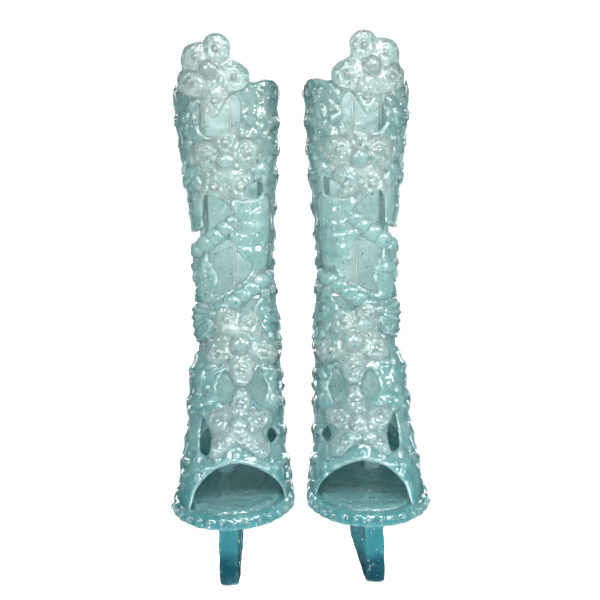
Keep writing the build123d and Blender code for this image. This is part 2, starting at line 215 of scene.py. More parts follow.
def smooth_through(places, values, at):
    """A cubic curve through the values that doesn't swing past them."""
    slope = np.diff(values) / np.diff(places)
    steady = slope[:-1] * slope[1:] > 0
    both = np.where(steady, slope[:-1] + slope[1:], 1)
    tangent = np.concatenate([slope[:1], np.where(steady, 2 * slope[:-1] * slope[1:] / both, 0), slope[-1:]])
    span = np.clip(np.searchsorted(places, at) - 1, 0, len(places) - 2)
    width = places[span + 1] - places[span]
    t = (at - places[span]) / width
    rise = values[span + 1] - values[span]
    a = tangent[span] * width - rise
    b = rise - tangent[span + 1] * width
    return values[span] + t * rise + t * (1 - t) * ((1 - t) * a + t * b)


def foot_frame(out, ahead):
    """The same place across and along the foot, which turns outward."""
    cos, sin = math.cos(TOE_OUT), math.sin(TOE_OUT)
    return out * cos - ahead * sin, out * sin + ahead * cos


def level_at(up):
    return [smooth_through(LEVELS[:, 0], LEVELS[:, column], np.asarray(up)) for column in range(1, 6)]


def skin(grid):
    """Distance to the boot's plain outer surface, negative inside."""
    widest, ahead, behind, half, middle = (value.astype(np.float32) for value in level_at(grid.up))
    across, along = foot_frame(grid.out, grid.ahead)
    x = across - middle
    y = along - widest
    reach = np.where(y > 0, ahead - widest, behind + widest)
    ratio = np.sqrt((x / half) ** 2 + (y / reach) ** 2) + 1e-4
    steepness = np.sqrt((x / half**2) ** 2 + (y / reach**2) ** 2) + 1e-4
    flat = (ratio * (ratio - 1) / steepness).astype(np.float32)
    slopes = np.gradient(flat, grid.cell)
    return flat / np.clip(np.sqrt(slopes[0] ** 2 + slopes[1] ** 2 + slopes[2] ** 2), 0.9, 2)


def outline_distance(points, x, y):
    """Distance to a closed outline in a plane, negative inside."""
    nearest = np.full(np.broadcast(x, y).shape, 1e6, dtype=np.float32)
    inside = np.zeros(nearest.shape, dtype=bool)
    for (ax, ay), (bx, by) in zip(points, list(points[1:]) + [points[0]]):
        ex, ey = bx - ax, by - ay
        wx, wy = x - ax, y - ay
        t = np.clip((wx * ex + wy * ey) / (ex * ex + ey * ey), 0, 1)
        nearest = np.minimum(nearest, (wx - ex * t) ** 2 + (wy - ey * t) ** 2)
        inside ^= ((ay > y) != (by > y)) & (x < ax + ex * (y - ay) / (ey if ey else 1e-9))
    return np.where(inside, -1, 1) * np.sqrt(nearest)


CURVE_PULL = 0.42  # how strongly a curve keeps its direction at a point


def curved(points, steps=6):
    """A closed smooth curve through the points."""
    points = np.array(points, dtype=float)
    before, after, beyond = np.roll(points, 1, 0), np.roll(points, -1, 0), np.roll(points, -2, 0)
    curve = []
    for p0, p1, p2, p3 in zip(before, points, after, beyond):
        for t in np.arange(steps) / steps:
            m1, m2 = CURVE_PULL * (p2 - p0), CURVE_PULL * (p3 - p1)
            leaving = (2 * t**3 - 3 * t**2 + 1) * p1 + (t**3 - 2 * t**2 + t) * m1
            arriving = (3 * t**2 - 2 * t**3) * p2 + (t**3 - t**2) * m2
            curve.append(leaving + arriving)
    return [tuple(point) for point in curve]


def segment_distance(start, end, x, y):
    """Distance to a straight line between two points, and how far along it the nearest place lies."""
    ex, ey = end[0] - start[0], end[1] - start[1]
    t = np.clip(((x - start[0]) * ex + (y - start[1]) * ey) / (ex * ex + ey * ey), 0, 1)
    return np.sqrt((x - start[0] - ex * t) ** 2 + (y - start[1] - ey * t) ** 2), t


def lumps(grid, size, seed):
    """Gentle unevenness between -1 and 1, alike on every run."""
    draw = np.random.default_rng(seed)
    total = 0
    for _ in range(5):
        aim = draw.normal(size=3)
        aim *= 2 * math.pi / size / np.linalg.norm(aim) * draw.uniform(0.7, 1.4)
        phase = draw.uniform(0, 6.28)
        total = total + np.sin(aim[0] * grid.out + aim[1] * grid.ahead + aim[2] * grid.up + phase)
    return (total / 3).astype(np.float32)


def ring(distance, radius, width):
    """A soft ridge, 1 at its crest, at a radius."""
    return np.exp(-(((distance - radius) / width) ** 2))


# ---------------------------------------------------------------- meshes
def quads_of(field, grid):
    """The surface of a field: points in a boot's own millimetres, and four-sided faces."""
    volume = openvdb.FloatGrid(float(grid.cell * 4))
    volume.copyFromArray(np.ascontiguousarray(field, dtype=np.float32))
    points, faces = volume.convertToQuads(isovalue=0.0)
    return grid.low + points * grid.cell, faces


def make_object(name, points, faces, side):
    """A smooth-shaded object whose faces point outward; points are in the boot's own millimetres."""
    places = to_world(points, side)
    faces = np.asarray(faces, dtype=np.int32)
    centred = (places - places.mean(axis=0)) / MM
    a, b, c = centred[faces[:, 0]], centred[faces[:, 1]], centred[faces[:, 2]]
    d = centred[faces[:, 3]]
    if (np.einsum("ij,ij->i", a, np.cross(b, c)) + np.einsum("ij,ij->i", a, np.cross(c, d))).sum() < 0:
        faces = np.ascontiguousarray(faces[:, ::-1])
    mesh = bpy.data.meshes.new(name)
    mesh.vertices.add(len(places))
    mesh.vertices.foreach_set("co", places.astype(np.float32).ravel())
    mesh.loops.add(faces.size)
    mesh.loops.foreach_set("vertex_index", faces.ravel())
    mesh.polygons.add(len(faces))
    mesh.polygons.foreach_set("loop_start", np.arange(0, faces.size, 4, dtype=np.int32))
    mesh.polygons.foreach_set("use_smooth", np.ones(len(faces), dtype=bool))
    mesh.update(calc_edges=True)
    mesh.validate()
    piece = bpy.data.objects.new(name, mesh)
    bpy.context.scene.collection.objects.link(piece)
    return piece


# ---------------------------------------------------------------- places on the surface
def place_on_rim(up, angle, growth=0.0):
    """A place on the outer surface: angle 0 is ahead and 90 degrees is outward."""
    widest, ahead, behind, half, middle = (float(value) for value in level_at(up))
    turn = math.radians(angle)
    reach = ahead - widest if math.cos(turn) > 0 else behind + widest
    along = widest + (reach + growth) * math.cos(turn)
    across = middle + (half + growth) * math.sin(turn)
    cos, sin = math.cos(TOE_OUT), math.sin(TOE_OUT)
    return np.array([across * cos + along * sin, along * cos - across * sin, up])


def place_in_front(out, up, growth=0.0):
    """The place of the front surface that shows at (out, up) from straight ahead."""
    widest, ahead, behind, half, middle = (float(value) for value in level_at(up))
    along = ahead
    for _ in range(6):
        across = (out - along * math.sin(TOE_OUT)) / math.cos(TOE_OUT)
        share = min(0.999, abs(across - middle) / (half + growth))
        along = widest + (ahead - widest + growth) * math.sqrt(1 - share**2)
    cos, sin = math.cos(TOE_OUT), math.sin(TOE_OUT)
    return np.array([across * cos + along * sin, along * cos - across * sin, up])


def facing(out, up, growth, nudge=0.1):
    """A place on the front, raised by the growth, and the direction that faces out of it there."""
    place = place_in_front(out, up, growth)
    across = place_in_front(out + nudge, up, growth) - place
    above = place_in_front(out, up + nudge, growth) - place
    normal = np.cross(across, above)
    normal /= np.linalg.norm(normal)
    outward = place - np.array([0.0, place[1] * 0.4, place[2]])
    return place, normal if np.dot(normal, outward) > 0 else -normal


# ---------------------------------------------------------------- outlines on the front
opening_outlines = [curved(points) for points in OPENINGS.values()]


def star_edge(name, x, y):
    """Distance to a starfish's outline: five blunt lobes that run together in the middle."""
    middle, waist, tips = STARS[name]
    radius = LOBE_ENDS[name]
    edge = None
    for tip in tips:
        reach = math.hypot(tip[0] - middle[0], tip[1] - middle[1])
        end = [m + (t - m) * (reach - radius) / reach for m, t in zip(middle, tip)]
        distance, along = segment_distance(middle, end, x, y)
        lobe = distance - (waist * 0.8 * (1 - along) + radius * along)
        edge = lobe if edge is None else soft_min(edge, lobe, 1.3)
    return edge


def all_openings(grid):
    """Distance to the openings in the front, negative inside them."""
    flat = np.minimum.reduce([outline_distance(points, grid.out, grid.up) for points in opening_outlines])
    notch = outline_distance(curved(OPENINGS["outer_notch"]), grid.out, grid.up)
    return np.minimum(np.maximum(flat, -grid.ahead), np.maximum(notch, NOTCH_BACK - grid.ahead))


def all_stars(grid):
    return np.minimum.reduce([star_edge(name, grid.out, grid.up) for name in STARS])


def strand_distance(name, grid):
    start, end, width = STRANDS[name]
    return segment_distance(start, end, grid.out, grid.up)[0] - width / 2


def leg_room(grid, f):
    """Distance to the room inside the boot, round where the cuff grips the calf."""
    bore = np.sqrt((grid.out - CALF_BORE_OUT) ** 2 + grid.ahead**2)
    radius = np.where(grid.up > CUFF_TOP, CALF_BORE + 0.5, CALF_BORE)
    return soft_min(f + WALL, np.maximum(bore - radius, CALF_BORE_FOOT - grid.up), 0.2)


def above_sole(grid):
    """Height above the line that the foot stands on."""
    along = foot_frame(grid.out, grid.ahead)[1]
    places = np.array(SOLE_TOP[::-1])
    return grid.up - smooth_through(places[:, 0], places[:, 1], np.clip(along, -10, 24)).astype(np.float32)


def raise_studs(field, grid, places, radius, height):
    """Raise small round studs on a surface, each with a groove round it."""
    reach = 2.2 * radius
    for place in places:
        first = np.maximum(((place - reach - grid.low) / grid.cell).astype(int), 0)
        last = np.minimum(((place + reach - grid.low) / grid.cell).astype(int) + 1, field.shape)
        if (last <= first).any():
            continue
        part = tuple(slice(a, b) for a, b in zip(first, last))
        x = grid.out[part[0]] - place[0]
        y = grid.ahead[:, part[1]] - place[1]
        z = grid.up[:, :, part[2]] - place[2]
        distance = np.sqrt(x**2 + y**2 + z**2)
        groove = 0.3 * height * ring(distance, 1.35 * radius, 0.25 * radius)
        field[part] -= height * np.exp(-((distance / radius) ** 4)) - groove


# ---------------------------------------------------------------- the boot's wall
WALL_CELL = 0.2
SCALLOP_DEPTH = 0.26
PANE_DEPTH = 0.42
PANE_HEIGHT = 2.7
PANE_WIDTH = 2.3
PANE_PLACE = 2.1  # the panes' middle line, ahead of the boot's widest place
PANE_SPAN = (15.5, 74.5)
CUFF_WAVE = 0.25
SOLE_SINK = 0.35  # how far the wall's lower edge reaches into the sole
STUD_RADIUS = 0.5
STUD_HEIGHT = 0.3


def scattered(seed, count, outs, ups, spacing):
    """Random places on the front, alike on every run, no nearer to each other than the spacing."""
    draw = np.random.default_rng(seed)
    found = []
    while len(found) < count:
        spot = np.array([draw.uniform(*outs), draw.uniform(*ups)])
        if all(np.linalg.norm(spot - other) > spacing for other in found):
            found.append(spot)
    return [place_in_front(*spot) for spot in found]


wall_studs = scattered(11, 70, (-7.2, 7.6), (15, 74), 2.3)

# shallow starfish moulded in the plain wall: middle, reach of the lobes and turn in degrees
EMBOSSED = [
    ((-4.7, 68.6), 3.1, 10), ((6.9, 70.2), 2.6, 35), ((6.3, 61.8), 3.0, 0), ((-5.2, 62.3), 2.4, 40),
    ((4.9, 47.0), 2.3, 20), ((-4.6, 43.6), 2.2, 0), ((5.6, 33.4), 2.6, 30), ((-5.4, 29.6), 2.4, 12),
    ((6.0, 27.4), 2.3, 5), ((6.6, 17.8), 2.3, 20), ((-6.0, 17.6), 2.4, 50), ((-5.9, 37.2), 2.2, 25),
]
EMBOSSED_RISE = 0.34
EMBOSSED_BOSS = 0.16
EMBOSSED_GROOVE = 0.12


def embossing(grid):
    """How far the shallow starfish stand out of the wall."""
    rise = 0
    for (out, up), reach, turn in EMBOSSED:
        x, y = grid.out - out, grid.up - up
        distance = np.sqrt(x**2 + y**2)
        bearing = np.arctan2(x, y) + math.radians(turn)
        outline = reach * (0.72 + 0.28 * np.cos(5 * bearing))
        rise = rise + EMBOSSED_RISE / (1 + np.exp((distance - outline) / 0.18))
        rise = rise + EMBOSSED_BOSS * np.exp(-((distance / 0.7) ** 4))
        rise = rise - EMBOSSED_GROOVE * ring(distance, 1.0, 0.22)
    return np.where(grid.ahead > -0.5, rise, 0)


def wall_surface(grid):
    """The plain outer surface, and the same with its scallops, shallow starfish, studs and unevenness."""
    f = skin(grid)
    across = foot_frame(grid.out, grid.ahead)[0]
    _, _, _, half, middle = (value.astype(np.float32) for value in level_at(grid.up))
    flank = np.clip(np.abs(across - middle) / half, 0, 1) ** 4
    wave = np.abs(np.cos((grid.up - SIDE_ROW_TOP) * math.pi / PEARL_PITCH)) ** 0.8
    scallops = SCALLOP_DEPTH * (wave - 0.5) * flank
    relief = f + 0.07 * lumps(grid, 4.5, 3) + 0.06 * lumps(grid, 2.2, 21) - scallops - embossing(grid)
    raise_studs(relief, grid, wall_studs, STUD_RADIUS, STUD_HEIGHT)
    return f, relief


def cuff_edge(grid):
    """Height above the cuff's wavy top."""
    return grid.up - CUFF_TOP + CUFF_WAVE * np.sin(grid.out * 1.3)


def side_panes(grid):
    """Distance to the shallow panes between the rows of pearls, like those of a ladder, down both sides."""
    along = foot_frame(grid.out, grid.ahead)[1]
    widest = level_at(grid.up)[0].astype(np.float32)
    row = (grid.up - SIDE_ROW_TOP) / PEARL_PITCH
    pane_up = np.abs(row - np.floor(row) - 0.5) * PEARL_PITCH - PANE_HEIGHT / 2
    pane_along = np.abs(along - widest - PANE_PLACE) - PANE_WIDTH / 2
    span = np.abs(grid.up - sum(PANE_SPAN) / 2) - (PANE_SPAN[1] - PANE_SPAN[0]) / 2
    return soft_max(soft_max(pane_up, pane_along, 0.6), span, 0.4)


def build_wall():
    grid = Grid((-9.6, -9.4, 8.5), (10.4, 22.4, 77.0), WALL_CELL)
    f, relief = wall_surface(grid)
    relief = soft_max(relief, -soft_max(side_panes(grid), -(f + PANE_DEPTH), 0.25), 0.25)
    wall = soft_max(relief, -leg_room(grid, f), 0.45)
    wall = soft_max(wall, cuff_edge(grid), 0.9)
    wall = soft_max(wall, -(above_sole(grid) + SOLE_SINK), 0.2)
    wall = soft_max(wall, -all_openings(grid), 0.75)
    # the wall's edge lies hidden just inside each starfish, strand and shell
    taken = all_stars(grid) + 0.5
    for name in STRANDS:
        taken = np.minimum(taken, strand_distance(name, grid) + 0.35)
    for points, _ in SHELLS.values():
        taken = np.minimum(taken, outline_distance(curved(points), grid.out, grid.up) + 0.5)
    wall = np.where(grid.ahead > 0, soft_max(wall, -taken, 0.2), wall)
    slit = np.maximum(np.maximum(np.abs(grid.out) - SIDE_SPLIT, grid.ahead), SHAFT_FOOT - grid.up)
    return quads_of(soft_max(wall, -slit, 0.35), grid)


def build_flap(direction):
    """A rear flap beside the slit, with the thin web that it bends on. direction is 1 for the outer one."""
    edges = sorted((direction * 0.17, direction * 5.2))
    grid = Grid((edges[0] - 0.6, -9.2, SHAFT_FOOT - 1), (edges[1] + 0.6, -3.0, CUFF_TOP + 1), 0.2)
    f, relief = wall_surface(grid)
    out = grid.out * direction
    shell = soft_max(relief, -leg_room(grid, f), 0.45)
    panel = np.maximum(0.03 - out, out - (SIDE_SPLIT - FLAP_GAP))
    ends = np.maximum(SHAFT_FOOT + FLAP_GAP - grid.up, cuff_edge(grid))
    flap = soft_max(shell, soft_max(panel, ends, 0.6), 0.15)
    web = np.maximum(np.abs(f + 0.55) - 0.28, np.maximum(SIDE_SPLIT - 0.9 - out, out - 4.95))
    web = np.maximum(web, ends + 0.5)
    return quads_of(soft_min(flap, web, 0.3), grid)


# ---------------------------------------------------------------- starfish, shells and strands
STAR_CELL = 0.13
STAR_RISE = 0.85
STAR_SPINE_RISE = 0.4
STAR_CREASE = 0.3
DOME_GROOVE = 0.22
PEBBLE_TRIES = 260
PEBBLE_RADIUS = 0.36
PEBBLE_HEIGHT = 0.26
SHELL_RISE = 0.68
RIB_COUNT = 22
RIB_HEIGHTS = {"fan_shell": 0.12, "shell_panel": 0.042}
GROWTH_LINE_HEIGHT = 0.06
GROWTH_LINE_PITCH = 1.9
STRAND_LIFT = -0.2  # how far the strand's middle lies out of the plain surface
STRAND_HEIGHT = 0.98
STRAND_LAY = 5.2  # length of one turn of the cords
KNOT_PITCH = 1.75


def front_grid(points, cell, margin=1.3):
    """A grid round a stretch of the front that shows inside an outline."""
    outs, ups = [p[0] for p in points], [p[1] for p in points]
    low_out, high_out = min(outs) - margin, max(outs) + margin
    low_up, high_up = min(ups) - margin, max(ups) + margin
    fronts = [
        place_in_front(out, up, 1.2)[1]
        for out in np.linspace(low_out, high_out, 7)
        for up in np.linspace(low_up, high_up, 7)
    ]
    low_ahead = max(-1.0, min(fronts) - 3.0)
    return Grid((low_out, low_ahead, low_up), (high_out, max(fronts) + 1.2, high_up), cell)


def pebbles_on(name):
    """Small bubbles all over a starfish, between its beads."""
    middle, _, tips = STARS[name]
    draw = np.random.default_rng(len(name) + int(middle[1]))
    outs, ups = [p[0] for p in tips], [p[1] for p in tips]
    found = []
    for _ in range(PEBBLE_TRIES):
        spot = np.array([draw.uniform(min(outs), max(outs)), draw.uniform(min(ups), max(ups))])
        inside = star_edge(name, spot[0], spot[1]) < -0.5
        if inside and all(np.linalg.norm(spot - other) > 1.0 for other in found):
            found.append(spot)
    return [place_in_front(*spot, 0.85) for spot in found]


def lobe_bead_spot(middle, tip):
    return [m + LOBE_BEAD_PLACE * (t - m) for m, t in zip(middle, tip)]


def build_star(name):
    """A starfish with a ridge along each lobe, a crease between lobes and grooves round its beads."""
    middle, _, tips = STARS[name]
    grid = front_grid(tips, STAR_CELL, 1.8)
    f = skin(grid)
    edge = star_edge(name, grid.out, grid.up)
    depth = np.maximum(-edge, 0)
    rise = 0.02 + STAR_RISE * (1 - np.exp(-depth / 1.15))
    for tip in tips:
        spine, along = segment_distance(middle, tip, grid.out, grid.up)
        rise = rise + STAR_SPINE_RISE * np.exp(-((spine / 1.5) ** 2)) * (0.35 + 0.65 * along)
        bead = lobe_bead_spot(middle, tip)
        distance = np.sqrt((grid.out - bead[0]) ** 2 + (grid.up - bead[1]) ** 2)
        rise = rise - 0.1 * ring(distance, 0.8, 0.18) + 0.1 * ring(distance, 1.2, 0.28)
    for tip, following in zip(tips, tips[1:] + tips[:1]):
        between = [(a + b) / 2 for a, b in zip(tip, following)]
        crease, along = segment_distance(middle, between, grid.out, grid.up)
        rise = rise - STAR_CREASE * np.exp(-((crease / 0.5) ** 2)) * np.clip(along * 1.6, 0, 1)
    dome = min(STAR_DOMES, key=lambda d: math.hypot(d[0] - middle[0], d[1] - middle[1]))
    distance = np.sqrt((grid.out - dome[0]) ** 2 + (grid.up - dome[1]) ** 2)
    rise = rise - DOME_GROOVE * ring(distance, dome[2] + 0.25, 0.35)
    top = f - rise + 0.08 * lumps(grid, 2.6, 5) + 0.05 * lumps(grid, 1.3, 7)
    raise_studs(top, grid, pebbles_on(name), PEBBLE_RADIUS, PEBBLE_HEIGHT)
    star = soft_max(top, -leg_room(grid, f), 0.35)
    star = soft_max(star, edge + 0.1 * lumps(grid, 2.2, 8), 0.6)
    return quads_of(soft_max(star, -all_openings(grid), 0.6), grid)


def build_shell(name):
    """A shell with ribs that spread from its hinge, crossed by growth lines."""
    points, hinge = SHELLS[name]
    outline = curved(points)
    grid = front_grid(outline, STAR_CELL)
    f = skin(grid)
    edge = outline_distance(outline, grid.out, grid.up)
    depth = np.maximum(-edge, 0)
    x, y = grid.out - hinge[0], grid.up - hinge[1]
    distance = np.sqrt(x**2 + y**2)
    ribs = RIB_HEIGHTS[name] * np.cos(np.arctan2(y, x) * RIB_COUNT) * np.clip(distance / 5, 0, 1)
    growth_lines = GROWTH_LINE_HEIGHT * np.cos(distance * 2 * math.pi / GROWTH_LINE_PITCH)
    rise = 0.08 + SHELL_RISE * (1 - np.exp(-depth / 0.8)) + ribs + growth_lines
    top = f - rise + 0.05 * lumps(grid, 2.6, 6)
    shell = soft_max(top, -leg_room(grid, f), 0.35)
    shell = soft_max(shell, edge, 0.7)
    shell = soft_max(shell, -all_openings(grid), 0.6)
    shell = soft_max(shell, -(all_stars(grid) + 0.4), 0.3)
    shell = soft_max(shell, -(grid.ahead - 0.2), 0.3)
    return quads_of(shell, grid)


def build_strand(name):
    """A rope of three twisted cords, laid along the front."""
    start, end, width = STRANDS[name]
    length = math.hypot(end[0] - start[0], end[1] - start[1]) + width
    rows, turns, around = 150, length / STRAND_LAY, 44
    points, faces = [], []
    for row in range(rows + 1):
        s = row / rows
        reach = (s * length - width / 2) / (length - width)
        spot = [a + reach * (b - a) for a, b in zip(start, end)]
        place, outward = facing(*spot, STRAND_LIFT)
        further = [at + 0.05 * (b - a) for at, a, b in zip(spot, start, end)]
        onward = place_in_front(*further, STRAND_LIFT) - place
        onward /= np.linalg.norm(onward)
        sideways = np.cross(outward, onward)
        end_gap = min(s, 1 - s) * length
        taper = math.sqrt(1 - max(0.0, 1 - end_gap / (width / 2)) ** 2)
        for step in range(around):
            angle = 2 * math.pi * step / around
            twist = 1.5 * (angle - 2 * math.pi * turns * s)
            swell = 0.94 + 0.10 * abs(math.cos(twist)) ** 0.8
            knot = abs(math.sin(math.pi * (s * length / KNOT_PITCH + 0.16 * math.cos(angle))))
            radius = max(taper, 0.02) * swell * (0.8 + 0.28 * knot**0.5)
            aside = math.cos(angle) * radius * width / 2
            outside = math.sin(angle) * radius * STRAND_HEIGHT
            points.append(place + sideways * aside + outward * outside)
    for row in range(rows):
        near, far = row * around, (row + 1) * around
        for step in range(around):
            following = (step + 1) % around
            faces.append([near + step, near + following, far + following, far + step])
    return np.array(points), np.array(faces)


# ---------------------------------------------------------------- sole and heel
SOLE_CELL = 0.2
HEEL_CELL = 0.12
SOLE_SCALLOP = 0.1
SOLE_SCALLOP_COUNT = 30
FOOTBED_TOP = 0.6  # above the sole's line
FOOTBED_THICKNESS = 1.1


def build_outsole():
    grid = Grid((-10.4, -9.4, 5.8), (11.6, 22.8, 26.2), SOLE_CELL)
    f = skin(grid)
    across, along = foot_frame(grid.out, grid.ahead)
    side_view = outline_distance(SOLE_TOP + SOLE_UNDERSIDE, along, grid.up)
    wave = np.cos(np.arctan2(across, (along - 8.5) / 1.35) * SOLE_SCALLOP_COUNT)
    scallop = SOLE_SCALLOP * wave * np.clip((along - 2) / 6, 0, 1)
    rim = f - PLATFORM_LEDGE + scallop + 0.04 * lumps(grid, 3, 4)
    return quads_of(soft_max(rim, side_view + 0.04 * lumps(grid, 3.5, 9), 0.7), grid)


def build_footbed():
    """A thin textured bed on the sole, inside the wall."""
    grid = Grid((-8.6, -8.0, 9.0), (9.6, 21.4, 26.2), SOLE_CELL)
    f = skin(grid)
    above = above_sole(grid)
    texture = 0.07 * lumps(grid, 1.3, 12) + 0.05 * lumps(grid, 0.8, 13)
    bed = soft_max(above - FOOTBED_TOP + texture, FOOTBED_TOP - FOOTBED_THICKNESS - above, 0.2)
    return quads_of(soft_max(bed, f + WALL - 0.15, 0.5), grid)


def build_heel(side):
    """An open frame, drawn from its own front face and then turned and set under the sole."""
    grid = Grid((-2.3, -13.0, -0.8), (2.3, 0.8, 25.4), HEEL_CELL)
    outline = outline_distance(HEEL_OUTLINE, grid.ahead, grid.up)
    opening = outline_distance(HEEL_OPENING, grid.ahead, grid.up)
    frame_view = soft_max(outline, -opening, 0.5)
    ripple = np.sin(grid.up * 1.6 + grid.ahead * 1.1 + grid.out * 1.4) * np.clip(-grid.ahead / 2, 0, 1)
    web = np.abs(grid.out) - HEEL_WIDTH / 2 + 0.1 * ripple + 0.04 * lumps(grid, 2.5, 15)
    heel = soft_max(frame_view + 0.05 * lumps(grid, 2.2, 14), web, 0.75)
    points, faces = quads_of(heel, grid)
    turn = TOE_OUT + HEEL_TURN[side]
    cos, sin = math.cos(turn), math.sin(turn)
    foot_cos, foot_sin = math.cos(TOE_OUT), math.sin(TOE_OUT)
    start_out = HEEL_OFFSET * foot_cos + HEEL_FRONT * foot_sin
    start_ahead = HEEL_FRONT * foot_cos - HEEL_OFFSET * foot_sin
    out = start_out + points[:, 0] * cos + points[:, 1] * sin
    ahead = start_ahead + points[:, 1] * cos - points[:, 0] * sin
    return np.stack([out, ahead, points[:, 2]], axis=-1), faces


# ---------------------------------------------------------------- beads
# a bead's profile, from its top to its base: distance from its axis and height, as shares of its radius
BEAD_PROFILE = [
    (0, 0.68), (0.2, 0.66), (0.4, 0.58), (0.56, 0.44), (0.66, 0.27), (0.72, 0.15),
    (0.8, 0.14), (0.89, 0.2), (0.97, 0.16), (1.02, 0.02), (1.02, -0.3),
]
PEARL_PROFILE = [
    (0, 0.46), (0.35, 0.43), (0.65, 0.36), (0.95, 0.25), (1.2, 0.11), (1.4, -0.05),
    (1.55, -0.25), (1.6, -0.6),
]
DOME_PROFILE = [
    (0, 0.66), (0.25, 0.64), (0.5, 0.55), (0.7, 0.41), (0.85, 0.24), (0.93, 0.1),
    (0.97, 0.0), (1.0, -0.3),
]


DOME_GROWTH = 0.9  # how far out of the plain surface the beads on the starfish sit
LOBE_BEAD_GROWTH = 0.95


def lathe_beads(spots, profile, around=22):
    """Turned beads that stand on the surface; spots are (place, outward, radius)."""
    points, faces = [], []
    for place, outward, radius in spots:
        helper = np.array([0.0, 0.0, 1.0]) if abs(outward[2]) < 0.8 else np.array([1.0, 0.0, 0.0])
        first = np.cross(helper, outward)
        first /= np.linalg.norm(first)
        second = np.cross(outward, first)
        base = len(points)
        for r, h in profile[1:]:
            for step in range(around):
                angle = 2 * math.pi * step / around
                sideways = math.cos(angle) * first + math.sin(angle) * second
                points.append(place + radius * (r * sideways + h * outward))
        top = len(points)
        points.append(place + radius * profile[0][1] * outward)
        bottom = len(points)
        points.append(place + radius * profile[-1][1] * outward)
        rings = len(profile) - 1
        for index in range(rings - 1):
            for step in range(around):
                following = (step + 1) % around
                a, b = base + index * around, base + (index + 1) * around
                faces.append([a + step, b + step, b + following, a + following])
        for step in range(0, around, 2):
            following, third = (step + 1) % around, (step + 2) % around
            faces.append([top, base + step, base + following, base + third])
            last = base + (rings - 1) * around
            faces.append([bottom, last + third, last + following, last + step])
    return np.array(points), np.array(faces)


def side_row(angle):
    spots = []
    for row in range(SIDE_ROW_COUNT):
        if angle > 0 and row == NOTCH_ROW:
            continue
        up = SIDE_ROW_TOP - row * PEARL_PITCH
        place = place_on_rim(up, angle)
        outward = place_on_rim(up, angle, 1) - place
        spots.append((place, outward / np.linalg.norm(outward), PEARL_RADIUS))
    return lathe_beads(spots, PEARL_PROFILE)


def rim_row():
    spots = []
    places = np.array(SOLE_TOP[::-1])
    for angle in RIM_PEARL_ANGLES:
        place = place_on_rim(RIM_LEVEL, angle, PLATFORM_LEDGE)
        outward = place_on_rim(RIM_LEVEL, angle, PLATFORM_LEDGE + 1) - place
        along = foot_frame(place[0], place[1])[1]
        place[2] = np.interp(along, places[:, 0], places[:, 1]) - PLATFORM_THICKNESS / 2
        spots.append((place, outward / np.linalg.norm(outward), RIM_PEARL_RADIUS))
    return lathe_beads(spots, BEAD_PROFILE)


def star_domes():
    spots = [(*facing(out, up, DOME_GROWTH), radius) for out, up, radius in STAR_DOMES]
    return lathe_beads(spots, DOME_PROFILE, 32)


def lobe_beads():
    spots = []
    for middle, _, tips in STARS.values():
        for tip in tips:
            spot = lobe_bead_spot(middle, tip)
            spots.append((*facing(*spot, LOBE_BEAD_GROWTH), LOBE_BEAD_RADIUS))
    return lathe_beads(spots, DOME_PROFILE)


# ---------------------------------------------------------------- materials
def linear(red, green, blue):
    """A screen colour, 0 to 255, as the linear colour that a shader takes."""
    shares = [value / 255 for value in (red, green, blue)]
    return (*(v / 12.92 if v <= 0.04045 else ((v + 0.055) / 1.055) ** 2.4 for v in shares), 1.0)


# height above the heel tips, and the vinyl's colour there
OMBRE = [
    (0.0, linear(0, 76, 94)),
    (3.0, linear(0, 88, 104)),
    (5.5, linear(60, 152, 164)),
    (10.5, linear(92, 168, 172)),
    (20.0, linear(136, 188, 190)),
    (36.0, linear(142, 188, 186)),
    (60.0, linear(158, 196, 193)),
    (70.0, linear(144, 176, 172)),
    (84.0, linear(118, 142, 139)),
]
FULL_HEIGHT = 84.0
# painted shade for the flanks
PAINTED_FLANK_SHADE = linear(70, 138, 138)
# painted shade for the hollows
PAINTED_HOLLOW_SHADE = linear(60, 138, 142)
STREAK_TEAL = linear(84, 158, 160)
# painted highlight for the crests
PAINTED_CREST_HIGHLIGHT = linear(226, 240, 237)
# painted light, as if shining through the back wall from behind
PAINTED_BACK_LIGHT = linear(214, 230, 227)
CLOUD_WHITE = linear(222, 238, 234)
MILK = linear(186, 201, 197)
DARK_FLAKE = linear(38, 84, 92)
# the glitter's white flakes, painted as glints
WHITE_GLINT_FLAKE = linear(250, 255, 255)
FLAKES = [(2000.0, 0.2), (1300.0, 0.17)]  # scale of the pattern, and size of its flakes
COAT_IOR = 1.9
PAIR_X = (axis_x["left"] + axis_x["right"]) / 2


class Nodes:
    """Short names for building a node tree."""

    def __init__(self, tree):
        self.tree = tree

    def add(self, kind, inputs=(), **settings):
        node = self.tree.nodes.new(kind)
        for name, value in settings.items():
            setattr(node, name, value)
        for name, value in dict(inputs).items():
            socket = node.inputs[name]
            if hasattr(value, "is_output"):
                self.tree.links.new(value, socket)
            else:
                socket.default_value = value
        return node

    def maths(self, operation, a, b=0.0):
        return self.add("ShaderNodeMath", {0: a, 1: b}, operation=operation).outputs[0]

    def times(self, a, b):
        return self.maths("MULTIPLY", a, b)

    def step(self, value, low, high):
        """0 at low and 1 at high, smooth between, and level beyond them."""
        ends = {"Value": value, "From Min": low, "From Max": high}
        return self.add("ShaderNodeMapRange", ends, interpolation_type="SMOOTHSTEP").outputs["Result"]

    def noise(self, place, scale, **settings):
        inputs = {"Vector": place, "Scale": scale, **settings}
        return self.add("ShaderNodeTexNoise", inputs).outputs["Fac"]

    def mix(self, share, a, b):
        node = self.add("ShaderNodeMix", data_type="RGBA")
        for socket, value in ((node.inputs[0], share), (node.inputs[6], a), (node.inputs[7], b)):
            if hasattr(value, "is_output"):
                self.tree.links.new(value, socket)
            else:
                socket.default_value = value
        return node.outputs[2]


